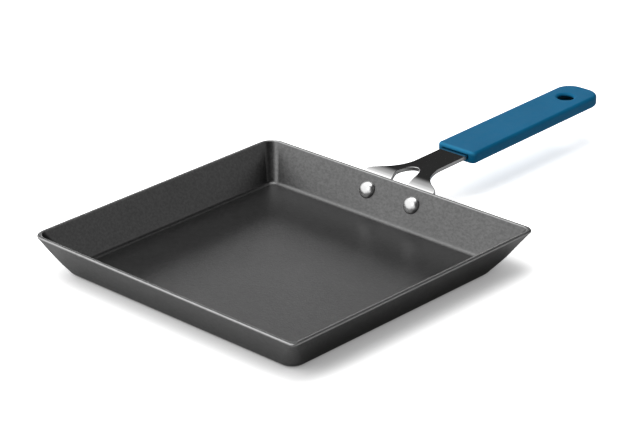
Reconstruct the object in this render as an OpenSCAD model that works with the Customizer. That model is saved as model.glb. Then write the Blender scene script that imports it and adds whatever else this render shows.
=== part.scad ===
// Nearly square omelette pan with a riveted strap handle and a slip-on grip.
// Millimetres. The origin is the centre of the base on the surface that the
// pan stands on, +X points along the handle and +Z is up.

/* [Pan] */
// Outside length of the rim, along the handle, before its edge is broken
rim_l = 184; // [165:1:215]
// Outside width of the rim, across the handle
rim_w = 190; // [165:1:215]
// Height of the rim above the surface that the pan stands on
pan_h = 22.5; // [20:0.5:27]
// Flare of the walls, in degrees from vertical
wall_flare = 29.5; // [24:0.5:33]
// Thickness of the pressed plate
plate_t = 2.2; // [1.8:0.1:2.8]
// Outside corner radius of the rim, seen from above
rim_corner_r = 9; // [7.5:0.5:12]
// Outside corner radius where the wall planes meet the surface
base_corner_r = 9; // [6.2:0.2:9]
// Inside radius where the floor turns up into the walls
floor_fillet = 4; // [3:0.1:5]
// Rounding of the rim's outer edge
rim_edge_r = 0.7; // [0.3:0.1:0.8]

/* [Rivets] */
// Distance between the two rivets
rivet_pitch = 32; // [28:0.5:35]
// Height of the rivets above the base, on the inside of the wall
rivet_z = 14.6; // [14:0.1:15.5]
// Shank diameter
rivet_shank_d = 5; // [4:0.5:6]
// Diameter of the domed head inside the pan
rivet_head_d = 10; // [8:0.1:10]
// Height of the domed head
rivet_head_h = 2.8; // [2:0.1:3.5]
// Height of the flatter head formed against the strap
rivet_tail_h = 1.6; // [1:0.1:2]

/* [Strap handle] */
// Thickness of the strap
strap_t = 2.4; // [1.8:0.1:2.6]
// Width of the straight part of the strap
strap_w = 18; // [16:0.5:21]
// Width of the flange that is riveted to the pan
flange_w = 50; // [48:1:56]
// Length of the flange down the wall, below the bend
flange_len = 14; // [12.5:0.5:15]
// Radius of the bend, on its outer side
bend_r = 12; // [10:0.5:13]
// Height of the strap's top face where the bend starts
strap_z = 24.2; // [23.8:0.1:26]
// Rise of the handle, in degrees
handle_tilt = 1.1; // [0:0.1:4]
// Radius of the flare from the flange to the straight part
flare_r = 25; // [22:1:28]
// Length of the flare, from the start of the bend
flare_len = 18.5; // [16:0.5:20]
// Distance from the pan's centre to the end of the strap
strap_end = 259.8; // [258:0.1:280]

/* [Grip sleeve] */
// Distance from the pan's centre to the mouth of the sleeve
sleeve_start = 141.5; // [135:0.5:160]
// Width of the sleeve
sleeve_w = 27.2; // [26:0.2:32]
// Thickness of the sleeve
sleeve_t = 7; // [6.6:0.1:9]
// Distance of the sleeve's middle plane below the strap's middle plane
sleeve_drop = 0.2; // [0:0.1:0.6]
// Thickness of the closed end beyond the strap
sleeve_end_t = 4.8; // [4.5:0.1:7]
// Rounding of the sleeve's edges
sleeve_edge_r = 2; // [1:0.1:2.4]
// Corner radius of the closed end, seen from above
sleeve_corner_r = 10.5; // [8:0.5:12]
// Corner radius of the mouth, seen from above
mouth_corner_r = 3.6; // [3:0.2:5]
// Clearance between the strap and the sleeve, all round
fit_gap = 0.15; // [0.1:0.05:0.3]

/* [Hang hole] */
// Diameter of the hole through the sleeve
hang_d = 9.8; // [8:0.2:11]
// Distance from the pan's centre to the hole's axis
hang_x = 245; // [236:0.5:246]
// Amount by which the hidden hole in the strap is larger
hang_relief = 2; // [1:0.1:2]

/* [Hidden] */

fl = wall_flare;
th = handle_tilt;
tf = tan(fl);
hx = rim_l / 2;
hy = rim_w / 2;
// Distance by which the outer and the inner wall planes lie inside the rim's
// outside at a height z
function outer_in(z) = (pan_h - z) * tf;
function inner_in(z) = outer_in(z) + plate_t / cos(fl);
// Distance from an ideal corner to the centre of a fillet of radius 1,
// measured along the floor
ft = tan((90 - fl) / 2);
base_fillet = floor_fillet + plate_t;
inner_corner_r = rim_corner_r - plate_t / cos(fl) + 0.6;

// Bend of the strap: centre of the arcs in the X-Z plane
r1 = bend_r + sin(th) * (hx + 11) - cos(th) * strap_z;
r2 = bend_r + cos(fl) * hx - sin(fl) * pan_h;
cx = (cos(th) * r2 - sin(fl) * r1) / cos(th + fl);
cz = (sin(th) * r2 - cos(fl) * r1) / cos(th + fl);
bend_a = 90 - th - fl;
bend_in = bend_r - strap_t;
bend_mid = bend_r - strap_t / 2;
// Start of the bend on the strap's top face
ax = cx - bend_r * sin(th);
az = cz + bend_r * cos(th);
bend_n = 24;

// X and Z of a point at a distance s along the strap and d below its top face.
// s is positive towards the grip and negative round the bend and down the wall.
function bend_s() = bend_mid * bend_a * PI / 180;
function strap_x(s, d) = s >= 0 ? ax + s * cos(th) + d * sin(th)
    : -s <= bend_s() ? cx - (bend_r - d) * sin(th + (-s) / bend_mid * 180 / PI)
    : cx - (bend_r - d) * cos(fl) - (-s - bend_s()) * sin(fl);
function strap_zz(s, d) = s >= 0 ? az + s * sin(th) - d * cos(th)
    : -s <= bend_s() ? cz + (bend_r - d) * cos(th + (-s) / bend_mid * 180 / PI)
    : cz + (bend_r - d) * sin(fl) - (-s - bend_s()) * cos(fl);

// Half width of the strap at s, before the flange's own width limits it
function flare(s) = s >= flare_len ? strap_w / 2
    : strap_w / 2 + flare_r - sqrt(max(0, flare_r * flare_r - (flare_len - s) * (flare_len - s)));
function strap_half(s) = min(flange_w / 2, flare(s));

// Length of the straight part beyond the bend
bar_len = (strap_end - ax) / cos(th);
hang_s = (hang_x - ax) / cos(th);

// Opening through the bend, as [s, left edge, right edge]
opening = [
    [10.2, 1.5, 0.3], [9.6, 2.9, -0.7], [8.4, 4.2, -1.9], [6.6, 5.4, -3.1],
    [4.6, 6.2, -4.1], [2.4, 6.7, -4.9], [0.2, 6.8, -5.6], [-2.0, 6.5, -6.1],
    [-4.2, 6.0, -6.4], [-5.6, 5.6, -6.4], [-7.0, 5.1, -6.3]];
// Round lower end of the opening
open_r = 5.7;
open_y = -0.6;
nop = len(opening);

// Axis of the rivets: down and out, square to the wall
module at_rivet(y) {
    translate([hx - inner_in(rivet_z), y, rivet_z]) rotate([0, 90 + fl, 0]) children();
}

// Frame of the straight strap: origin at the start of the bend, on the top face
module at_bar() {
    translate([ax, 0, az]) rotate([0, -th, 0]) children();
}

// Ring with a round section, for the corners of the tray
module corner_ring(major, minor) {
    rotate_extrude($fn = 64) intersection() {
        translate([major, 0]) circle(r = minor, $fn = 48);
        translate([0, -minor]) square([major + minor, 2 * minor]);
    }
}

// Four copies of a child at the corners of the tray, a distance d inside
// its outside planes at the rim
module four(d) {
    for (sx = [-1, 1], sy = [-1, 1]) translate([sx * (hx - d), sy * (hy - d), 0]) children();
}

module pan_body() {
    color([0.30, 0.30, 0.31]) difference() {
        // outside of the tray
        hull() {
            four(rim_corner_r) translate([0, 0, pan_h - rim_edge_r])
                corner_ring(rim_corner_r - rim_edge_r * (tf + 1 / cos(fl)), rim_edge_r);
            four(outer_in(0) + base_corner_r) translate([0, 0, base_fillet])
                corner_ring(base_corner_r - ft * base_fillet, base_fillet);
        }
        // inside of the tray
        hull() {
            four(rim_corner_r) translate([0, 0, pan_h + 1])
                cylinder(r = inner_corner_r - 0.6 + tf, h = 0.1, $fn = 64);
            four(inner_in(plate_t) + inner_corner_r) translate([0, 0, plate_t + floor_fillet])
                corner_ring(inner_corner_r - ft * floor_fillet, floor_fillet);
        }
        // broken inner edge of the rim
        hull() {
            four(rim_corner_r) translate([0, 0, pan_h - 0.3])
                cylinder(r1 = inner_corner_r - 0.6 - 0.3 * tf, r2 = inner_corner_r - 0.6 + 0.5, h = 0.35, $fn = 64);
        }
        // rivet holes
        for (y = [-1, 1]) at_rivet(y * rivet_pitch / 2)
            translate([0, 0, -3]) cylinder(d = rivet_shank_d, h = plate_t + 6, $fn = 48);
    }
}

// Side profile of the whole strap, in X and Z
module strap_profile() {
    polygon(concat(
        [[strap_x(bar_len, 0), strap_zz(bar_len, 0)]],
        [for (i = [0 : bend_n]) let (s = -bend_s() * i / bend_n) [strap_x(s, 0), strap_zz(s, 0)]],
        [[strap_x(-bend_s() - flange_len, 0), strap_zz(-bend_s() - flange_len, 0)]],
        [[strap_x(-bend_s() - flange_len, strap_t), strap_zz(-bend_s() - flange_len, strap_t)]],
        [for (i = [bend_n : -1 : 0]) let (s = -bend_s() * i / bend_n) [strap_x(s, strap_t), strap_zz(s, strap_t)]],
        [[strap_x(bar_len, strap_t), strap_zz(bar_len, strap_t)]]));
}

// Outline of the strap seen from above, from the flange to its round end
module strap_outline() {
    sl = [for (i = [0 : 40]) -bend_s() + (flare_len + bend_s()) * i / 40];
    er = strap_w / 2;
    polygon(concat(
        [[cx - bend_r - flange_len, flange_w / 2]],
        [for (s = sl) [strap_x(s, strap_t / 2), strap_half(s)]],
        [for (a = [90 : -7.5 : -90]) [strap_end - er + er * cos(a), er * sin(a)]],
        [for (i = [40 : -1 : 0]) [strap_x(sl[i], strap_t / 2), -strap_half(sl[i])]],
        [[cx - bend_r - flange_len, -flange_w / 2]]));
}

// The opening seen from above, down to its round lower end
module opening_above() {
    polygon(concat(
        [for (i = [0 : nop - 1]) [strap_x(opening[i][0], strap_t / 2), opening[i][1]]],
        [for (i = [nop - 1 : -1 : 0]) [strap_x(opening[i][0], strap_t / 2), opening[i][2]]]));
}

// Cutter for one lower corner of the flange, in the plane of the wall
module flange_corner(side) {
    r = 8;
    translate([flange_len - r, side * (flange_w / 2 - r), -1]) difference() {
        translate([0, side > 0 ? 0 : -r - 2, 0]) cube([r + 2, r + 2, strap_t + 2]);
        translate([0, 0, -1]) cylinder(r = r, h = strap_t + 4, $fn = 64);
    }
}

module handle_bar() {
    color([0.75, 0.75, 0.77]) difference() {
        intersection() {
            rotate([90, 0, 0]) translate([0, 0, -flange_w / 2 - 1])
                linear_extrude(flange_w + 2) strap_profile();
            linear_extrude(pan_h * 3) strap_outline();
        }
        // egg-shaped opening through the bend
        translate([0, 0, cz]) linear_extrude(pan_h + bend_r) opening_above();
        // its lower end, square to the wall
        translate([cx - bend_r * cos(fl), 0, cz + bend_r * sin(fl)]) rotate([0, 90 + fl, 0])
            translate([-bend_r * sin(bend_a + opening[nop - 1][0] / bend_mid * 180 / PI), open_y, -1])
                cylinder(r = open_r, h = bend_r, $fn = 64);
        // rounded lower corners of the flange
        translate([cx - bend_r * cos(fl), 0, cz + bend_r * sin(fl)]) rotate([0, 90 + fl, 0])
            for (side = [-1, 1]) flange_corner(side);
        // rivet holes
        for (y = [-1, 1]) at_rivet(y * rivet_pitch / 2)
            translate([0, 0, plate_t - 1]) cylinder(d = rivet_shank_d, h = strap_t + 3, $fn = 48);
        // hidden hang hole, larger than the one in the sleeve
        at_bar() translate([hang_s, 0, -strap_t - 3])
            cylinder(d = hang_d + hang_relief, h = strap_t + 6, $fn = 64);
    }
}

// Solid rivet: domed head inside the pan, shank, flatter head on the strap
module rivet(y) {
    rr = rivet_head_d / 2;
    tr = 0.9 * rr;
    grip = plate_t + strap_t;
    // radius of the sphere that a cap of radius r and height h is cut from
    function cap_r(r, h) = (r * r + h * h) / (2 * h);
    at_rivet(y) {
        // factory head
        intersection() {
            translate([0, 0, cap_r(rr, rivet_head_h) - rivet_head_h]) sphere(r = cap_r(rr, rivet_head_h), $fn = 64);
            translate([0, 0, -rivet_head_h - 1]) cylinder(r = rr + 1, h = rivet_head_h + 1, $fn = 64);
        }
        // shank
        translate([0, 0, -0.5]) cylinder(d = rivet_shank_d, h = grip + 1, $fn = 48);
        // formed head
        translate([0, 0, grip]) intersection() {
            translate([0, 0, rivet_tail_h - cap_r(tr, rivet_tail_h)]) sphere(r = cap_r(tr, rivet_tail_h), $fn = 64);
            cylinder(r = rr + 1, h = rivet_tail_h + 1, $fn = 64);
        }
    }
}

module rivet_left() {
    color([0.82, 0.82, 0.84]) rivet(rivet_pitch / 2);
}

module rivet_right() {
    color([0.82, 0.82, 0.84]) rivet(-rivet_pitch / 2);
}

module grip_sleeve() {
    // positions along the straight strap, from the start of the bend
    s0 = (sleeve_start - ax) / cos(th);
    s1 = bar_len + sleeve_end_t;
    e = sleeve_edge_r;
    hw = sleeve_w / 2;
    ht = sleeve_t / 2;
    cr = sleeve_corner_r;
    mc = mouth_corner_r;
    zc = -strap_t / 2 - sleeve_drop;
    color([0.13, 0.38, 0.53]) at_bar() difference() {
        hull() {
            for (sy = [-1, 1], sz = [-1, 1]) {
                translate([s0 + mc, sy * (hw - mc), zc + sz * (ht - e)]) corner_ring(mc - e, e);
                translate([s1 - cr, sy * (hw - cr), zc + sz * (ht - e)]) corner_ring(cr - e, e);
            }
        }
        // pocket for the strap, open at the mouth and round at the end
        translate([s0 - 1, -strap_w / 2 - fit_gap, -strap_t - fit_gap])
            cube([bar_len - strap_w / 2 - s0 + 1, strap_w + 2 * fit_gap, strap_t + 2 * fit_gap]);
        translate([bar_len - strap_w / 2, 0, -strap_t - fit_gap])
            cylinder(r = strap_w / 2 + fit_gap, h = strap_t + 2 * fit_gap, $fn = 96);
        // hang hole
        translate([hang_s, 0, zc - sleeve_t]) cylinder(d = hang_d, h = 2 * sleeve_t, $fn = 64);
    }
}

pan_body();
handle_bar();
rivet_left();
rivet_right();
grip_sleeve();
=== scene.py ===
import math

import bpy
import numpy as np
from mathutils import Matrix, Vector
from mathutils.geometry import delaunay_2d_cdt


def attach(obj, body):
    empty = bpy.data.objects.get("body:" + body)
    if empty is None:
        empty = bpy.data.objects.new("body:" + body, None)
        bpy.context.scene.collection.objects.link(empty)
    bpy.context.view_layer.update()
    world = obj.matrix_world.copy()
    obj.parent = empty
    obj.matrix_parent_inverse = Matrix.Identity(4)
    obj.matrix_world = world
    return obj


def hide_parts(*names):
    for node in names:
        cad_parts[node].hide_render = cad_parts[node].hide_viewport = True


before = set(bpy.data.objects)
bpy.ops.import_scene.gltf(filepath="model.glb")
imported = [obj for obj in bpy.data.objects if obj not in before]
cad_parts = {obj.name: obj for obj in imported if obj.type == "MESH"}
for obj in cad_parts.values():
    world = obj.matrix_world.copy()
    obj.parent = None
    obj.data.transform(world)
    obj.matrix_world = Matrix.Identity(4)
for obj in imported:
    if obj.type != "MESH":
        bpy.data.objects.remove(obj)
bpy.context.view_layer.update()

MM = 0.001
rad = math.radians

# ---------------------------------------------------------------- sizes (mm)
HX, HY, PH, FL, PT = 92.0, 95.0, 22.5, rad(29.5), 2.2
RIM_R, BASE_R, FIL, RIM_E = 9.0, 9.0, 4.0, 0.7
TH = rad(1.1)
ST, SW, FW, FLEN, BR, SZ = 2.4, 18.0, 50.0, 14.0, 12.0, 24.2
FR, FLL, SEND = 25.0, 18.5, 259.8
RV_PITCH, RV_Z, RV_SD, RV_D, RV_H, RV_T = 32.0, 14.6, 5.0, 10.0, 2.8, 1.6
S_X0, S_W, S_T, S_DROP, S_ENDT, S_E, S_CR, S_MR = 141.5, 27.2, 7.0, 0.2, 4.8, 2.0, 10.5, 3.4
HANG_D, HANG_X, HANG_REL = 9.8, 245.0, 2.8
TF = math.tan(FL)

r1 = BR + math.sin(TH) * (HX + 11) - math.cos(TH) * SZ
r2 = BR + math.cos(FL) * HX - math.sin(FL) * PH
CX = (math.cos(TH) * r2 - math.sin(FL) * r1) / math.cos(TH + FL)
CZ = (math.sin(TH) * r2 - math.cos(FL) * r1) / math.cos(TH + FL)
BA = math.pi / 2 - TH - FL
RM = BR - ST / 2
BS = RM * BA
AX, AZ = CX - BR * math.sin(TH), CZ + BR * math.cos(TH)
BAR = (SEND - AX) / math.cos(TH)
HANG_S = (HANG_X - AX) / math.cos(TH)


# ---------------------------------------------------------------- mesh helper
def make(name, verts, faces, mat, body, nodes=(), normals=None, attrs=None):
    """A smooth shaded piece from points in millimetres."""
    me = bpy.data.meshes.new(name)
    verts = np.asarray(verts, float)
    sizes = np.array([len(f) for f in faces])
    groups = [np.array([f for f in faces if len(f) == k], int) for k in np.unique(sizes)]
    if normals is not None:               # every face turns the way its points' normals do
        nn = np.asarray(normals, float)
        for i, f in enumerate(groups):
            q = verts[f]
            g = sum(np.cross(q[:, j] - q[:, 0], q[:, j + 1] - q[:, 0]) for j in range(1, min(3, f.shape[1] - 1)))
            back = np.einsum("ij,ij->i", g, nn[f].sum(1)) < 0
            f[back] = f[back][:, ::-1]
    faces = [f for g in groups for f in g.tolist()]
    me.from_pydata((verts * MM).tolist(), [], faces)
    for key, vals in (attrs or {}).items():
        a = me.attributes.new(key, "FLOAT", "POINT")
        a.data.foreach_set("value", np.asarray(vals, np.float32))
    me.validate()
    me.shade_smooth()
    if normals is not None:
        n = np.asarray(normals, float)
        n /= np.linalg.norm(n, axis=1)[:, None] + 1e-12
        me.normals_split_custom_set_from_vertices(n.tolist())
    me.materials.append(mat)
    ob = bpy.data.objects.new(name, me)
    bpy.context.scene.collection.objects.link(ob)
    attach(ob, body)
    if nodes:
        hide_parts(*nodes)
    return ob


# ---------------------------------------------------------------- materials
def new_mat(name):
    m = bpy.data.materials.new(name)
    m.use_nodes = True
    nt = m.node_tree
    nt.nodes.clear()
    out = nt.nodes.new("ShaderNodeOutputMaterial")
    bsdf = nt.nodes.new("ShaderNodeBsdfPrincipled")
    nt.links.new(bsdf.outputs[0], out.inputs[0])
    return m, nt, bsdf


def noise(nt, scale, detail=4.0, rough=0.55, stretch=(1, 1, 1), offset=(0, 0, 0), dist=0.0):
    tc = nt.nodes.new("ShaderNodeTexCoord")
    mp = nt.nodes.new("ShaderNodeMapping")
    mp.inputs["Scale"].default_value = stretch
    mp.inputs["Location"].default_value = offset
    nz = nt.nodes.new("ShaderNodeTexNoise")
    nz.inputs["Scale"].default_value = scale
    nz.inputs["Detail"].default_value = detail
    nz.inputs["Roughness"].default_value = rough
    nz.inputs["Distortion"].default_value = dist
    nt.links.new(tc.outputs["Object"], mp.inputs[0])
    nt.links.new(mp.outputs[0], nz.inputs["Vector"])
    return nz.outputs["Fac"]


def ramp(nt, sock, a, b, lo, hi):
    r = nt.nodes.new("ShaderNodeMapRange")
    r.inputs["From Min"].default_value = a
    r.inputs["From Max"].default_value = b
    r.inputs["To Min"].default_value = lo
    r.inputs["To Max"].default_value = hi
    nt.links.new(sock, r.inputs["Value"])
    return r.outputs["Result"]


def mixcol(nt, fac, a, b):
    m = nt.nodes.new("ShaderNodeMix")
    m.data_type = "RGBA"
    for sock, v in ((m.inputs[6], a), (m.inputs[7], b)):
        if isinstance(v, tuple):
            sock.default_value = (*v, 1) if len(v) == 3 else v
        else:
            nt.links.new(v, sock)
    if isinstance(fac, float):
        m.inputs[0].default_value = fac
    else:
        nt.links.new(fac, m.inputs[0])
    return m.outputs[2]


def calc(nt, op, a, b, clamp=False):
    m = nt.nodes.new("ShaderNodeMath")
    m.operation = op
    m.use_clamp = clamp
    for i, v in enumerate((a, b)):
        if isinstance(v, (int, float)):
            m.inputs[i].default_value = v
        else:
            nt.links.new(v, m.inputs[i])
    return m.outputs[0]


def bump(nt, height, strength, distance, chain=None):
    b = nt.nodes.new("ShaderNodeBump")
    b.inputs["Strength"].default_value = strength
    b.inputs["Distance"].default_value = distance
    nt.links.new(height, b.inputs["Height"])
    if chain is not None:
        nt.links.new(chain, b.inputs["Normal"])
    return b.outputs["Normal"]


def attribute(nt, name):
    a = nt.nodes.new("ShaderNodeAttribute")
    a.attribute_name = name
    return a.outputs["Fac"]


def grey(v):
    return (v, v, v)


def pan_material():
    m, nt, b = new_mat("coated_plate")
    big = noise(nt, 22.0, 3.0, 0.5)
    mid = noise(nt, 330.0, 5.0, 0.62, offset=(0.3, 0.1, 0))
    spots = noise(nt, 760.0, 3.0, 0.6, stretch=(1.0, 0.7, 1.1))
    fine = noise(nt, 900.0, 3.0, 0.6)
    grain = attribute(nt, "grain")
    tone = calc(nt, "ADD", calc(nt, "MULTIPLY", mid, 0.55), calc(nt, "MULTIPLY", big, 0.45))
    col = mixcol(nt, ramp(nt, tone, 0.36, 0.64, 0.0, 1.0), grey(0.118), grey(0.140))
    dark = calc(nt, "MULTIPLY", ramp(nt, spots, 0.36, 0.64, 1.0, 0.0), calc(nt, "MULTIPLY", grain, 0.44))
    col = mixcol(nt, dark, col, grey(0.060))
    wear = attribute(nt, "wear")
    worn = calc(nt, "MULTIPLY", wear, ramp(nt, mid, 0.3, 0.55, 0.75, 1.0), True)
    nt.links.new(mixcol(nt, worn, col, grey(0.36)), b.inputs["Base Color"])
    b.inputs["Metallic"].default_value = 1.0
    rough = ramp(nt, calc(nt, "ADD", calc(nt, "MULTIPLY", mid, 0.5), calc(nt, "MULTIPLY", fine, 0.5)), 0.3, 0.7, 0.30, 0.38)
    nt.links.new(rough, b.inputs["Roughness"])
    n = bump(nt, fine, 0.50, 0.00014)
    n = bump(nt, mid, 0.20, 0.00024, n)
    nt.links.new(n, b.inputs["Normal"])
    return m


def steel_material(name, base, rlo, rhi, brush, punched_edges_and_hole_shade=False):
    m, nt, b = new_mat(name)
    st = noise(nt, 380.0, 4.0, 0.6, stretch=brush)
    cl = noise(nt, 60.0, 3.0, 0.5)
    col = mixcol(nt, ramp(nt, cl, 0.35, 0.65, 0.0, 1.0), grey(base * 0.94), grey(base))
    rough = ramp(nt, st, 0.3, 0.7, rlo, rhi)
    if punched_edges_and_hole_shade:                               # the punched edges are duller; the steel round the hang hole is given painted shade
        edge, hole_painted_shade = attribute(nt, "edge"), attribute(nt, "hole_painted_shade")
        col = mixcol(nt, calc(nt, "MULTIPLY", edge, 0.5), col, grey(base * 0.6))
        # painted shade: the hang hole's steel is coloured dark teal, as if shadowed inside the grip and reflecting its
        # blue rubber
        col = mixcol(nt, hole_painted_shade, col, (0.004, 0.020, 0.030))
        rough = calc(nt, "ADD", rough, calc(nt, "MULTIPLY", edge, 0.30))
    nt.links.new(col, b.inputs["Base Color"])
    b.inputs["Metallic"].default_value = 1.0
    nt.links.new(rough, b.inputs["Roughness"])
    return m


def rubber_material():
    m, nt, b = new_mat("blue_silicone")
    big = noise(nt, 35.0, 3.0, 0.5)
    fine = noise(nt, 1600.0, 3.0, 0.6)
    mid = noise(nt, 260.0, 3.0, 0.55)
    tone = calc(nt, "ADD", calc(nt, "MULTIPLY", big, 0.65), calc(nt, "MULTIPLY", mid, 0.35))
    col = mixcol(nt, ramp(nt, tone, 0.35, 0.65, 0.0, 1.0), (0.0018, 0.121, 0.254), (0.0030, 0.132, 0.276))
    col = mixcol(nt, attribute(nt, "mouth_painted_highlight"), col, (0.020, 0.215, 0.400))      # painted highlight: the upper edge of the mouth is coloured paler, as if catching the key light
    nt.links.new(col, b.inputs["Base Color"])
    nt.links.new(ramp(nt, mid, 0.3, 0.7, 0.52, 0.60), b.inputs["Roughness"])
    b.inputs["Specular IOR Level"].default_value = 0.10
    nt.links.new(bump(nt, fine, 0.12, 0.00006), b.inputs["Normal"])
    return m


PAN = pan_material()
STEEL = steel_material("satin_stainless", 0.46, 0.045, 0.06, (0.12, 1.0, 1.0), True)
RIVET = steel_material("bright_rivet", 0.62, 0.28, 0.31, (1.0, 1.0, 1.0))
RUBBER = rubber_material()


# ---------------------------------------------------------------- pan
def ring(hx, hy, rr, nc=16, ns=26):
    """Rounded rectangle, counter-clockwise, with its outward directions."""
    pts, nor = [], []
    rr = np.maximum(rr, 0.3) * np.ones(4)
    for k, (sx, sy) in enumerate(((1, 1), (-1, 1), (-1, -1), (1, -1))):
        r, r2 = rr[k], rr[(k + 1) % 4]
        a = np.radians(90 * k + np.linspace(0, 90, nc + 1))
        c = np.array([sx * (hx - r), sy * (hy - r)])
        d = np.c_[np.cos(a), np.sin(a)]
        pts.append(c + r * d)
        nor.append(d)
        k2 = (k + 1) % 4
        sx2, sy2 = ((1, 1), (-1, 1), (-1, -1), (1, -1))[k2]
        a2 = rad(90 * k2)
        d2 = np.array([math.cos(a2), math.sin(a2)])
        e = np.array([sx2 * (hx - r2), sy2 * (hy - r2)]) + r2 * d2
        t = np.linspace(0, 1, ns + 1)[1:-1, None]
        pts.append((1 - t) * (c + r * d[-1]) + t * e)
        nor.append(np.repeat(d2[None], ns - 1, 0))
    return np.concatenate(pts), np.concatenate(nor)


CORNER = np.r_[tuple(np.r_[np.full(17, k), np.full(25, k)] for k in range(4))]    # which corner a ring's point belongs to
# corner radii, estimated from the outline in the photograph: the corners at (+x,+y), (-x,+y), (-x,-y), (+x,-y)
RIM_C = np.array([10.0, 8.3, 3.4, 6.2])
BASE_C = np.array([9.6, 7.6, 7.0, 15.0])
WALL_Z = [3.2, 5.0, 6.0, 8.0, 11.0, 14.0, 16.0, 18.0, 20.0, 21.6]     # two corners are fuller halfway up the wall
WALL_C = {1: [9.4, 7.8, 7.3, 6.8, 6.5, 6.6, 6.9, 7.3, 7.8, 8.0],
          3: [16.8, 13.6, 11.8, 10.0, 9.0, 8.3, 7.8, 7.2, 6.5, 6.0]}
WALL_F = np.linspace(0, 25, 251)
WALL_K = np.exp(-0.5 * (np.arange(-45, 46) / 15.0) ** 2)
IN_TOP = np.array([7.0, 7.4, 3.6, 5.2])
IN_LOW = np.array([4.2, 5.5, 4.2, 5.0])
IN_FIL = 3.2                                  # the floor turns up a little tighter inside
TAPER = 0.012                                 # the tray is a touch wider at the handle's end


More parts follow.
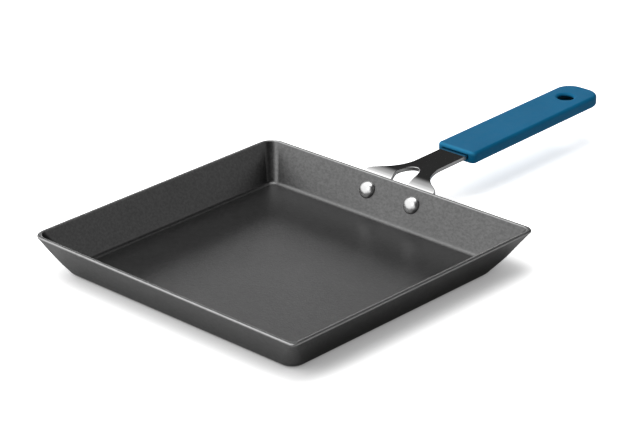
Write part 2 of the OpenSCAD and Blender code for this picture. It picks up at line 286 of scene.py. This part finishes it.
def build_pan():
    tb = math.tan((math.pi / 2 - FL) / 2)
    uc = -PH * TF - tb * (FIL + PT)           # centre of the base fillet, inside the rim
    zc = FIL + PT
    ui0 = -PT / math.cos(FL) - (PH - PT) * TF - tb * IN_FIL
    zi0 = PT + IN_FIL
    prof = []   # (u, z, corner radii, normal u, normal z, wear, grain)

    def add(u, z, r, nu, nz, wear=0.0, grain=1.0):
        prof.append((u, z, np.maximum(r, 0.3) * np.ones(4), nu, nz, wear, grain))
    rb = BASE_C - tb * (FIL + PT)
    ri = np.maximum(IN_LOW - tb * IN_FIL, 0.8)
    for u in np.r_[np.linspace(-88, -24, 14), -20.0, -18.0, uc - 0.4]:
        add(u, 0.0, np.minimum(rb, (HX + u) * 0.8), 0, -1)
    for a in np.radians(np.linspace(-90, -29.5, 11)):
        add(uc + zc * math.cos(a), zc + zc * math.sin(a), rb + zc * math.cos(a), math.cos(a), math.sin(a))
    # outer wall, from the base fillet to the rim
    u0, z0, rr0 = prof[-1][0], prof[-1][1], prof[-1][2]
    re = RIM_E + 0.15
    ue = -re * (TF + 1 / math.cos(FL))
    ce = RIM_C + ue
    u1, z1, rr1 = ue + re * math.cos(FL), PH - re - re * math.sin(FL), ce + re * math.cos(FL)
    for t in (0.03, 0.1, 0.2, 0.3, 0.4, 0.5, 0.6, 0.7, 0.8, 0.88, 0.94, 0.98):
        r_, z_ = rr0 + (rr1 - rr0) * t, z0 + (z1 - z0) * t
        for c_, tab in WALL_C.items():
            q_ = np.pad(np.interp(WALL_F, WALL_Z, tab), 45, mode="edge")
            r_[c_] = np.interp(z_, WALL_F, np.convolve(q_, WALL_K / WALL_K.sum(), "valid"))
        add(u0 + (u1 - u0) * t, z_, r_, math.cos(FL), -math.sin(FL))
    for a in np.radians(np.linspace(-29.5, 90, 12)):
        w = math.sin(max(0.0, min(1.0, (math.degrees(a) + 29.5) / 119.5)) * math.pi)
        add(ue + re * math.cos(a), PH - re + re * math.sin(a), ce + re * math.cos(a), math.cos(a), math.sin(a), w)
    # flat top of the rim and its softened inner edge
    ei = 0.75
    ui = -PT / math.cos(FL) - ei * TF + ei / math.cos(FL)
    for t in (0.25, 0.5, 0.75):
        add(ue + (ui - ue) * t, PH, ce + (IN_TOP - ce) * t, 0, 1, 0.25)
    for a in np.radians(np.linspace(90, 150.5, 7)):
        add(ui + ei * math.cos(a), PH - ei + ei * math.sin(a), IN_TOP + ei * math.cos(a), math.cos(a), math.sin(a), 0.25 + 0.75 * math.sin((math.degrees(a) - 90) / 60.5 * math.pi))
    # inner wall, floor fillet and floor
    u2, z2, rr2 = prof[-1][0], prof[-1][1], prof[-1][2]
    a = rad(-29.5)
    u3, z3, rr3 = ui0 + IN_FIL * math.cos(a), zi0 + IN_FIL * math.sin(a), ri + IN_FIL * math.cos(a)
    for t in (0.02, 0.1, 0.25, 0.4, 0.55, 0.7, 0.85, 0.96):
        add(u2 + (u3 - u2) * t, z2 + (z3 - z2) * t, rr2 + (rr3 - rr2) * t, -math.cos(FL), math.sin(FL))
    for a in np.radians(np.linspace(-29.5, -90, 11)):
        add(ui0 + IN_FIL * math.cos(a), zi0 + IN_FIL * math.sin(a), ri + IN_FIL * math.cos(a), -math.cos(a), -math.sin(a), 0.0, 0.6)
    for u in np.r_[ui0 - 0.5, -18.6, -20.5, np.linspace(-24, -88, 17)]:
        add(u, PT, np.minimum(ri, (HX + u) * 0.8), 0, 1, 0.0, 0.35)
    # how fast the corner radii change along the profile tilts the corners' normals
    U, Z, RR = np.array([q[0] for q in prof]), np.array([q[1] for q in prof]), np.array([q[2] for q in prof])
    arc = np.r_[0, np.cumsum(np.hypot(np.diff(U), np.diff(Z)) + 1e-9)]
    dr = np.gradient(RR, arc, axis=0)
    V, N, W, G = [], [], [], []
    n = None
    for i, (u, z, r, nu, nz, w, g) in enumerate(prof):
        p, d = ring(HX + u, HY + u, r)
        n = len(p)
        k = np.abs(d).sum(1)
        rp = dr[i][CORNER]
        slope = (-nz - rp) * k + rp
        V.append(np.c_[p, np.full(n, z)])
        N.append(np.c_[d * nu, -slope])
        W += [w] * n
        G += [g] * n
    V, N = np.concatenate(V), np.concatenate(N)
    F = []
    idx = np.arange(n)
    for k in range(len(prof) - 1):
        a, b = k * n + idx, (k + 1) * n + idx
        F += np.c_[a, np.roll(a, -1), np.roll(b, -1), b].tolist()
    # close the base and the floor
    last = len(prof) - 1
    c0, c1 = len(V), len(V) + 1
    V = np.r_[V, [[0, 0, 0.0]], [[0, 0, PT]]]
    N = np.r_[N, [[0, 0, -1]], [[0, 0, 1]]]
    W += [0.0, 0.0]
    G += [1.0, 0.35]
    F += np.c_[np.full(n, c0), np.roll(idx, -1), idx].tolist()
    F += np.c_[np.full(n, c1), last * n + idx, last * n + np.roll(idx, -1)].tolist()
    V[:, 1] *= 1 + TAPER * V[:, 0] / HX
    return make("pan_tray", V, F, PAN, "pan", ("pan_body",), N, {"wear": W, "grain": G})


# ---------------------------------------------------------------- strap
def strap_frame(s):
    """Point on the strap's top face and its tangent and normal at s (arrays)."""
    s = np.asarray(s, float)
    a = np.clip(-s / RM, 0, BA)
    ang = TH + a
    T = np.c_[np.cos(ang), np.zeros_like(s), np.sin(ang)]
    Nn = np.c_[-np.sin(ang), np.zeros_like(s), np.cos(ang)]
    P = np.c_[CX + 0 * s, 0 * s, CZ + 0 * s] + BR * Nn
    P = P + np.maximum(s, 0)[:, None] * T
    P = P - np.maximum(-s - BS, 0)[:, None] * T
    w = 3.5                               # the press leaves no sharp start to the bend
    ang = TH + np.where(np.abs(s) < w, (w - s) ** 2 / (4 * w * RM), a)
    T = np.c_[np.cos(ang), np.zeros_like(s), np.sin(ang)]
    Nn = np.c_[-np.sin(ang), np.zeros_like(s), np.cos(ang)]
    return P, T, Nn


def spline(pts, per=8, closed=True):
    p = np.asarray(pts, float)
    out = []
    n = len(p)
    for i in range(n if closed else n - 1):
        p0, p1, p2, p3 = (p[(i + k) % n] if closed else p[min(max(i + k, 0), n - 1)] for k in (-1, 0, 1, 2))
        for t in np.arange(per) / per:
            out.append(0.5 * ((2 * p1) + (p2 - p0) * t + (2 * p0 - 5 * p1 + 4 * p2 - p3) * t * t + (3 * p1 - p0 - 3 * p2 + p3) * t ** 3))
    return np.array(out)


def resample(p, step):
    """Evenly spaced points round a closed line."""
    q = np.r_[p, p[:1]]
    d = np.r_[0, np.cumsum(np.linalg.norm(np.diff(q, axis=0), axis=1))]
    n = max(12, int(round(d[-1] / step)))
    t = np.linspace(0, d[-1], n, endpoint=False)
    return np.c_[np.interp(t, d, q[:, 0]), np.interp(t, d, q[:, 1])]


def smooth_loop(p, k):
    for _ in range(k):
        p = 0.25 * np.roll(p, 1, 0) + 0.5 * p + 0.25 * np.roll(p, -1, 0)
    return p


def loop_normals(p):
    t = np.roll(p, -1, 0) - np.roll(p, 1, 0)
    n = np.c_[t[:, 1], -t[:, 0]]
    n /= np.linalg.norm(n, axis=1)[:, None] + 1e-12
    area = 0.5 * np.sum(p[:, 0] * np.roll(p[:, 1], -1) - np.roll(p[:, 0], -1) * p[:, 1])
    return n if area > 0 else -n


def fillet_corner(a, b, c, r, n=8):
    """Arc of radius r in place of corner b between directions to a and c."""
    a, b, c = map(np.asarray, (a, b, c))
    u, v = (a - b) / np.linalg.norm(a - b), (c - b) / np.linalg.norm(c - b)
    half = math.acos(max(-1, min(1, float(u @ v)))) / 2
    t = r / math.tan(half)
    ctr = b + (u + v) / np.linalg.norm(u + v) * r / math.sin(half)
    p0, p1 = b + u * t - ctr, b + v * t - ctr
    a0, a1 = math.atan2(p0[1], p0[0]), math.atan2(p1[1], p1[0])
    da = (a1 - a0 + math.pi) % (2 * math.pi) - math.pi
    return [ctr + r * np.array([math.cos(a0 + da * k / n), math.sin(a0 + da * k / n)]) for k in range(n + 1)]


def strap_outline():
    """Outline in (s, y), counter-clockwise."""
    hw, fw = SW / 2, FW / 2
    s_bot = -BS - FLEN
    x = math.sqrt(max(0.0, 2 * FR * (fw - hw) - (fw - hw) ** 2))
    s_top = FLL - x                       # the flare meets the flange's side
    up = [(s_bot, 0.0)]
    # +y half, from the flange's lower edge to the tip
    side = fillet_corner((s_bot, 0.0), (s_bot, fw), (s_top, fw), 8.0)
    pts = [(s_bot, 0.0)] + [tuple(p) for p in side]
    arc = [(FLL - FR * math.sin(q), hw + FR * (1 - math.cos(q))) for q in np.linspace(math.asin(min(1, x / FR)), 0, 26)]
    if fw - hw > FR:
        arc = [(FLL - FR * math.sin(q), hw + FR * (1 - math.cos(q))) for q in np.linspace(math.pi / 2, 0, 26)]
    corner = fillet_corner((s_top - 6, fw), (s_top, fw), arc[5], 3.4, 8)
    pts += [(s_top - 6, fw)] + [tuple(p) for p in corner] + arc[6:]
    e = BAR - hw
    pts += [(e + hw * math.sin(q), hw * math.cos(q)) for q in np.linspace(0, math.pi / 2, 14)]
    pts = np.array(pts)
    low = pts[1:-1][::-1] * [1, -1]
    loop = np.r_[pts, low]
    loop = loop[::-1]                     # counter-clockwise
    loop = smooth_loop(resample(loop, 0.7), 2)
    return loop


EGG = [(10.2, 1.0), (9.7, -0.6), (8.4, -1.9), (6.6, -3.1), (4.6, -4.1), (2.4, -4.9), (0.2, -5.6), (-2.0, -6.1), (-4.2, -6.4),
       (-7.0, -6.3), (-9.6, -5.5), (-11.5, -3.9), (-12.5, -1.9), (-12.6, 0.2), (-11.8, 2.3), (-10.1, 4.1), (-7.4, 5.1),
       (-4.2, 6.0), (-2.0, 6.5), (0.2, 6.8), (2.4, 6.7), (4.6, 6.2), (6.6, 5.4), (8.4, 4.2), (9.7, 2.7)]


def build_strap():
    outer = strap_outline()
    egg = resample(spline(EGG, 8), 0.45)
    q = np.linspace(0, 2 * math.pi, 72, endpoint=False)
    hr = (HANG_D + HANG_REL) / 2
    hang = np.c_[HANG_S + hr * np.cos(q), hr * np.sin(q)]
    loops = [(outer, loop_normals(outer)), (egg, -loop_normals(egg)), (hang, -loop_normals(hang))]
    # cross-section of the punched edge: (offset into the metal, depth, normal out, normal up)
    e1, e2 = 0.42, 0.30
    sec = [(e1 * (1 - math.sin(a)), e1 * (1 - math.cos(a)), math.sin(a), math.cos(a)) for a in np.radians(np.linspace(0, 90, 6))]
    sec += [(0.0, ST * 0.50, 1, 0), (0.05, ST * 0.53, 0.97, -0.2), (0.13, ST - e2 - 0.02, 0.985, -0.12)]
    sec += [(0.13 + e2 * (1 - math.cos(a)), ST - e2 * (1 - math.sin(a)), math.cos(a), -math.sin(a)) for a in np.radians(np.linspace(18, 90, 5))]
    V, N, F, E, hole_shade = [], [], [], [], []
    count = 0
    top_loops, bot_loops = [], []
    for li, (p, n) in enumerate(loops):
        m = len(p)
        base = count
        for off, dep, no, nu in sec:
            E.append(np.full(m, min(1.0, max(0.0, (dep - 0.2) / 0.3))))
            # painted shade: every row of the hang hole's edge is marked for the dark teal colour
            hole_shade.append(np.full(m, 1.0 if li == 2 else 0.0))
            pp = p - n * off
            P, T, Nn = strap_frame(pp[:, 0])
            pos = P.copy()
            pos[:, 1] += pp[:, 1]
            pos -= dep * Nn
            nor = no * (n[:, :1] * T + np.c_[np.zeros(m), n[:, 1], np.zeros(m)]) + nu * Nn
            V.append(pos)
            N.append(nor)
            count += m
        for k in range(len(sec) - 1):
            a = base + k * m + np.arange(m)
            b = a + m
            quad = np.c_[a, np.roll(a, -1), np.roll(b, -1), b]
            F += quad.tolist()
        top_loops.append((p - n * sec[0][0], base + np.arange(m)))
        bot_loops.append((p - n * sec[-1][0], base + (len(sec) - 1) * m + np.arange(m)))
    # faces above and below, filled between the loops
    grid = []
    for s in np.r_[np.arange(-BS - FLEN + 1.5, -BS - 0.6, 1.6), np.arange(-BS, 0.5, 0.55), np.arange(1.2, 20, 1.2), np.arange(21, BAR - 0.8, 2.6)]:
        for y in np.arange(-25.2, 25.3, 1.4 if s > 12 else 1.05):
            grid.append((s, y))
    grid = np.array(grid)

    def inside(pt, poly):
        x, y = pt[:, 0][:, None], pt[:, 1][:, None]
        x0, y0 = poly[:, 0], poly[:, 1]
        x1, y1 = np.roll(x0, -1), np.roll(y0, -1)
        cond = (y0 > y) != (y1 > y)
        xi = x0 + (y - y0) * (x1 - x0) / np.where(y1 == y0, 1e-9, y1 - y0)
        return (np.sum(cond & (x < xi), axis=1) % 2) == 1

    def near(pt, poly, d):
        out = np.zeros(len(pt), bool)
        for i in range(0, len(pt), 500):
            q_ = pt[i:i + 500]
            out[i:i + 500] = np.min(np.hypot(q_[:, None, 0] - poly[:, 0], q_[:, None, 1] - poly[:, 1]), axis=1) < d
        return out
    for side, lps in ((0, top_loops), (1, bot_loops)):
        pts = [l for l, _ in lps]
        ok = inside(grid, pts[0]) & ~inside(grid, pts[1]) & ~inside(grid, pts[2])
        for l in pts:
            ok &= ~near(grid, l, 0.55)
        g = grid[ok]
        allp = np.concatenate(pts + [g])
        ids = np.concatenate([i for _, i in lps])
        edges, o = [], 0
        for l in pts:
            m = len(l)
            edges += [(o + i, o + (i + 1) % m) for i in range(m)]
            o += m
        res = delaunay_2d_cdt([Vector(p) for p in allp.tolist()], edges, [], 0, 1e-6)
        rv, rf, rmap = res[0], res[2], res[3]
        rp = np.array([list(v) for v in rv])
        tri = np.array([list(f) for f in rf if len(f) == 3])
        cen = rp[tri].mean(1)
        keep = inside(cen, pts[0]) & ~inside(cen, pts[1]) & ~inside(cen, pts[2])
        tri = tri[keep]
        nb = len(ids)
        gid = count + np.arange(len(g))
        P, T, Nn = strap_frame(g[:, 0])
        dep = 0.0 if side == 0 else ST
        pos = P.copy()
        pos[:, 1] += g[:, 1]
        pos -= dep * Nn
        V.append(pos)
        N.append(Nn if side == 0 else -Nn)
        E.append(np.zeros(len(g)))
        hole_shade.append(np.zeros(len(g)))
        count += len(g)
        full = np.r_[ids, gid]
        src = np.array([m_[0] for m_ in rmap])
        tri = full[src[tri]]
        F += (tri if side == 0 else tri[:, ::-1]).tolist()
    V, N = np.concatenate(V), np.concatenate(N)
    return make("handle_strap", V, F, STEEL, "pan", ("handle_bar",), N, {"edge": np.concatenate(E), "hole_painted_shade": np.concatenate(hole_shade)})


# ---------------------------------------------------------------- rivets
def build_rivet(name, y, node):
    rr = RV_D / 2
    grip = PT + ST
    rt_ = 0.9 * rr
    ct = (rt_ * rt_ + RV_T * RV_T) / (2 * RV_T)
    prof = []   # (r, along axis, normal r, normal along); axis points out through the wall
    k = 2.5                                # the head is fuller than a ball's cap
    for a in np.radians(np.r_[np.linspace(0.0, 78, 24), 82, 85, 88]):
        q_ = math.sin(a) ** (2 / k)
        nr, nz = q_ ** (k - 1) / rr, math.cos(a) / RV_H * 2 / k
        g = math.hypot(nr, nz)
        prof.append((rr * q_, -RV_H * math.cos(a), nr / g, -nz / g))
    prof += [(rr - 0.02, -0.05, 1, 0.1), (rr - 0.12, 0.0, 0.6, 0.8)]
    prof += [(RV_SD / 2 + 0.02, 0.0, 0, 1), (RV_SD / 2, 0.05, 1, 0), (RV_SD / 2, grip - 0.05, 1, 0), (RV_SD / 2 + 0.02, grip, 0, -1)]
    at = math.asin(rt_ / ct)
    prof += [(rt_ - 0.12, grip, 0.6, -0.8), (rt_ - 0.02, grip + 0.10, 1, -0.1)]
    for a in np.linspace(at * 0.955, 0.0, 20):
        prof.append((ct * math.sin(a), grip + RV_T - ct + ct * math.cos(a), math.sin(a), math.cos(a)))
    m = 72
    q = np.linspace(0, 2 * math.pi, m, endpoint=False)
    zax = np.array([math.cos(FL), 0, -math.sin(FL)])
    xax = np.array([-math.sin(FL), 0, -math.cos(FL)])
    yax = np.array([0, 1.0, 0])
    org = np.array([HX - (PH - RV_Z) * TF - PT / math.cos(FL), y, RV_Z])
    V, N, F = [], [], []
    for r, z, nr, nz in prof:
        dirs = np.outer(np.cos(q), xax) + np.outer(np.sin(q), yax)
        V.append(org + max(r, 0.02) * dirs + z * zax)
        N.append(nr * dirs + nz * zax)
    idx = np.arange(m)
    for k in range(len(prof) - 1):
        a, b = k * m + idx, (k + 1) * m + idx
        F += np.c_[a, b, np.roll(b, -1), np.roll(a, -1)].tolist()
    F.append(list(idx))
    F.append(list((len(prof) - 1) * m + idx[::-1]))
    return make(name, np.concatenate(V), F, RIVET, "pan", (node,), np.concatenate(N))


# ---------------------------------------------------------------- grip sleeve
def smax(a, b, k):
    h = np.clip(0.5 - 0.5 * (b - a) / k, 0, 1)
    return b * (1 - h) + a * h + k * h * (1 - h)


def sleeve_field(p):
    """Signed distance, in the strap's own frame: along, across, above the top face."""
    s, y, n = p[:, 0], p[:, 1], p[:, 2]
    s0, s1 = (S_X0 - AX) / math.cos(TH), BAR + S_ENDT
    hw, ht = S_W / 2, S_T / 2
    w = n - (-ST / 2 - S_DROP)
    e = S_E - 0.5 * np.clip(1 - (s - s0) / 5.0, 0, 1)     # tighter at the mouth
    # plan: rounded at the mouth and more at the tip
    mid = 0.5 * (s0 + s1)
    cr = np.where(s > mid, S_CR, S_MR) - e
    qx = np.abs(s - mid) - (0.5 * (s1 - s0) - e) + cr
    qy = np.abs(y) - (hw - e) + cr
    d2 = np.hypot(np.maximum(qx, 0), np.maximum(qy, 0)) + np.minimum(np.maximum(qx, qy), 0) - cr
    q1, q2 = d2, np.abs(w) - (ht - e)
    body = np.hypot(np.maximum(q1, 0), np.maximum(q2, 0)) + np.minimum(np.maximum(q1, q2), 0) - e
    # pocket for the strap, a little wider at its mouth
    g = 0.15
    open_ = np.clip(1 - (s - s0) / 3.5, 0, 1) ** 2
    ph, pt = SW / 2 + g + 0.35 * open_, ST / 2 + g + 0.05 * open_
    ends = BAR - SW / 2
    rr = np.hypot(np.maximum(s - ends, 0), y) - ph
    pk = np.maximum(np.where(s > ends, rr, np.abs(y) - ph), np.abs(n + ST / 2) - pt)
    d = smax(body, -pk, 0.35)
    # hang hole with soft edges
    hole = np.hypot(s - HANG_S, y) - HANG_D / 2 - 0.8 * np.clip((np.abs(w) - (ht - 1.1)) / 1.1, 0, 1) ** 1.5
    return smax(d, -hole, 1.0)


def build_sleeve():
    h = 0.5
    s0, s1 = (S_X0 - AX) / math.cos(TH), BAR + S_ENDT
    zc = -ST / 2 - S_DROP
    lo = np.array([s0 - 1.1, -S_W / 2 - 1.1, zc - S_T / 2 - 1.1])
    hi = np.array([s1 + 1.1, S_W / 2 + 1.1, zc + S_T / 2 + 1.1])
    ax = [np.arange(lo[i], hi[i] + h, h) for i in range(3)]
    G = np.stack(np.meshgrid(*ax, indexing="ij"), -1)
    shp = G.shape[:3]
    f = sleeve_field(G.reshape(-1, 3)).reshape(shp)
    ins = f < 0
    # surface nets: one vertex in each cell that the surface crosses
    cs = tuple(n - 1 for n in shp)
    corners = [(i, j, k) for i in (0, 1) for j in (0, 1) for k in (0, 1)]
    sub = {c: (slice(c[0], c[0] + cs[0]), slice(c[1], c[1] + cs[1]), slice(c[2], c[2] + cs[2])) for c in corners}
    cnt = sum(ins[sub[c]].astype(int) for c in corners)
    act = (cnt > 0) & (cnt < 8)
    acc, num = np.zeros(cs + (3,)), np.zeros(cs)
    for c in corners:
        for d in range(3):
            if c[d]:
                continue
            c2 = tuple(c[i] + (i == d) for i in range(3))
            fa, fb = f[sub[c]], f[sub[c2]]
            x = (fa < 0) != (fb < 0)
            t = np.where(x, fa / np.where(fa == fb, 1, fa - fb), 0)
            p = np.array(c, float) + t[..., None] * np.eye(3)[d]
            acc += np.where(x[..., None], p, 0)
            num += x
    idx = -np.ones(cs, int)
    idx[act] = np.arange(act.sum())
    cell = np.argwhere(act)
    P = lo + h * (cell + acc[act] / num[act][:, None])
    F = []
    for d in range(3):
        u, v = (d + 1) % 3, (d + 2) % 3
        sl_a = [slice(None)] * 3
        sl_b = [slice(None)] * 3
        sl_a[d], sl_b[d] = slice(0, -1), slice(1, None)
        x = ins[tuple(sl_a)] != ins[tuple(sl_b)]
        pos = np.argwhere(x)
        pos = pos[(pos[:, u] > 0) & (pos[:, v] > 0) & (pos[:, u] < shp[u] - 1) & (pos[:, v] < shp[v] - 1)]
        flip = ins[tuple(sl_a)][tuple(pos.T)]
        q = []
        for du, dv in ((-1, -1), (0, -1), (0, 0), (-1, 0)):
            c = pos.copy()
            c[:, u] += du
            c[:, v] += dv
            q.append(idx[tuple(c.T)])
        q = np.stack(q, 1)
        q[~flip] = q[~flip][:, ::-1]
        F.append(q)
    F = np.concatenate(F)

    def grad(p):
        g = np.zeros_like(p)
        for i in range(3):
            o = np.zeros(3)
            o[i] = 0.02
            g[:, i] = (sleeve_field(p + o) - sleeve_field(p - o)) / 0.04
        return g
    for _ in range(4):
        g = grad(P)
        P = P - np.clip(sleeve_field(P) / (np.sum(g * g, 1) + 1e-9), -0.3, 0.3)[:, None] * g
    N = grad(P)
    # painted highlight: a paler band along the upper edge of the sleeve's mouth
    mouth_painted_highlight = np.exp(-((P[:, 0] - s0 - 0.9) / 0.9) ** 2) * np.clip((P[:, 2] + ST / 2 + S_DROP - 1.2) / 1.2, 0, 1)
    c, s_ = math.cos(TH), math.sin(TH)
    R = np.array([[c, 0, s_], [0, 1, 0], [-s_, 0, c]])
    return make("grip_cover", np.array([AX, 0, AZ]) + P @ R, F, RUBBER, "sleeve", ("grip_sleeve",), N @ R, {"mouth_painted_highlight": mouth_painted_highlight})


build_pan()
build_strap()
build_rivet("rivet_l", RV_PITCH / 2, "rivet_left")
build_rivet("rivet_r", -RV_PITCH / 2, "rivet_right")
build_sleeve()


# ---------------------------------------------------------------- floor
def build_floor():
    me = bpy.data.meshes.new("floor")
    a = 12.0
    me.from_pydata([(-a, -a, -0.00005), (a, -a, -0.00005), (a, a, -0.00005), (-a, a, -0.00005)], [], [(0, 1, 2, 3)])
    ob = bpy.data.objects.new("floor", me)
    bpy.context.scene.collection.objects.link(ob)
    m, nt, b = new_mat("studio_floor")
    lp = nt.nodes.new("ShaderNodeLightPath")
    ao = nt.nodes.new("ShaderNodeAmbientOcclusion")              # soft contact shadow all round the pan
    ao.samples = 16
    ao.inputs["Distance"].default_value = 0.020
    # painted shadow: the floor's colour and glow are darkened by ambient occlusion close to the pan
    near = calc(nt, "POWER", ao.outputs["AO"], 0.38)
    floor_with_painted_shadow = mixcol(nt, near, grey(0.0), grey(1.42))
    nt.links.new(mixcol(nt, lp.outputs["Is Camera Ray"], grey(0.74), floor_with_painted_shadow), b.inputs["Base Color"])
    b.inputs["Roughness"].default_value = 0.9
    b.inputs["Specular IOR Level"].default_value = 0.05
    b.inputs["Emission Color"].default_value = (1, 1, 1, 1)      # a glow only the camera sees, dimmed near the pan by the painted contact shadow
    nt.links.new(calc(nt, "MULTIPLY", calc(nt, "MULTIPLY", lp.outputs["Is Camera Ray"], near), 0.42), b.inputs["Emission Strength"])
    me.materials.append(m)
    return ob


build_floor()


# ---------------------------------------------------------------- lights
# The studio is drawn as soft boxes on the sky: azimuth, half width, lowest and highest elevation, edge softness, strength.
BOXES = [
    (124, 42, 0, 56, 10.0, 1.50),     # key, a tall soft box behind on the left
    (113, 18, 40, 53, 7.0, 1.7),      # its hot middle
    (178, 16, 28, 54, 8.0, 2.2),      # reflector beside it
    (62, 24, 38, 62, 12.0, 0.85),     # edge of the overhead box
    (100, 30, 46, 63, 10.0, 0.3),
    (50, 17, 7, 18, 3.0, 2.9),        # lit backdrop
    (308, 28, 12, 34, 7.0, 0.55),     # fill from the right
    (193, 26, 6, 28, 8.0, 1.1),       # weak fill from the camera's side
    (132, 50, 62, 76, 7.0, 3.0),      # overhead, leaning to the key's side
    (42, 42, 63, 76, 7.0, 1.9),
    (0, 180, 75, 90, 6.0, 3.2),
]


def build_world():
    world = bpy.data.worlds.new("studio")
    bpy.context.scene.world = world
    world.use_nodes = True
    nt = world.node_tree
    nt.nodes.clear()
    out = nt.nodes.new("ShaderNodeOutputWorld")
    bg = nt.nodes.new("ShaderNodeBackground")
    tc = nt.nodes.new("ShaderNodeTexCoord")
    total = 0.05
    for az, hw, e0, e1, soft, power in BOXES:
        rot = nt.nodes.new("ShaderNodeVectorRotate")
        rot.rotation_type = "Z_AXIS"
        rot.inputs["Angle"].default_value = -rad(az)
        nt.links.new(tc.outputs["Generated"], rot.inputs["Vector"])
        sep = nt.nodes.new("ShaderNodeSeparateXYZ")
        nt.links.new(rot.outputs[0], sep.inputs[0])
        el = calc(nt, "ARCSINE", sep.outputs["Z"], 0.0)
        box = None
        edges = [(el, rad(e0), rad(soft), 0, 1)]
        if e1 < 89:
            edges.append((el, rad(e1), rad(soft), 1, 0))
        if hw < 179:
            side = calc(nt, "ABSOLUTE", calc(nt, "ARCTAN2", sep.outputs["Y"], sep.outputs["X"]), 0.0)
            edges.append((side, rad(hw), rad(soft), 1, 0))
        for v, at, width, lo_, hi_ in edges:
            r = nt.nodes.new("ShaderNodeMapRange")
            r.interpolation_type = "SMOOTHSTEP"
            r.inputs["From Min"].default_value = at - width
            r.inputs["From Max"].default_value = at + width
            r.inputs["To Min"].default_value = lo_
            r.inputs["To Max"].default_value = hi_
            nt.links.new(v, r.inputs["Value"])
            box = r.outputs["Result"] if box is None else calc(nt, "MULTIPLY", box, r.outputs["Result"])
        total = calc(nt, "ADD", calc(nt, "MULTIPLY", box, power), total)
    bg.inputs["Color"].default_value = (1, 1, 1, 1)
    lp = nt.nodes.new("ShaderNodeLightPath")
    seen = nt.nodes.new("ShaderNodeMix")             # the backdrop itself is plain white
    nt.links.new(lp.outputs["Is Camera Ray"], seen.inputs[0])
    nt.links.new(total, seen.inputs[2])
    seen.inputs[3].default_value = 0.98
    nt.links.new(seen.outputs[0], bg.inputs["Strength"])
    nt.links.new(bg.outputs[0], out.inputs[0])


build_world()


# ---------------------------------------------------------------- camera
F_PX, YAW, PIT, ROL = 2210.875, rad(42.482), rad(23.748), rad(0.016)
T_MM = np.array([-19.486, 29.719, 1160.533])
hd = np.array([math.cos(YAW), math.sin(YAW), 0])
rt = np.cross(hd, [0, 0, 1.0])
fw = math.cos(PIT) * hd - math.sin(PIT) * np.array([0, 0, 1.0])
dn = -(math.sin(PIT) * hd + math.cos(PIT) * np.array([0, 0, 1.0]))
c, s = math.cos(ROL), math.sin(ROL)
R = np.array([[c, -s, 0], [s, c, 0], [0, 0, 1.0]]) @ np.array([rt, dn, fw])
loc = -R.T @ T_MM * MM
cam = bpy.data.objects.new("camera", bpy.data.cameras.new("camera"))
bpy.context.scene.collection.objects.link(cam)
cam.data.sensor_width = 36.0
cam.data.lens = F_PX / 640 * 36
cam.data.clip_start, cam.data.clip_end = 0.05, 60
cam.matrix_world = Matrix.Translation(loc.tolist()) @ Matrix(np.array([R[0], -R[1], -R[2]]).T.tolist()).to_4x4()
bpy.context.scene.camera = cam

bpy.context.scene.view_settings.view_transform = "Standard"
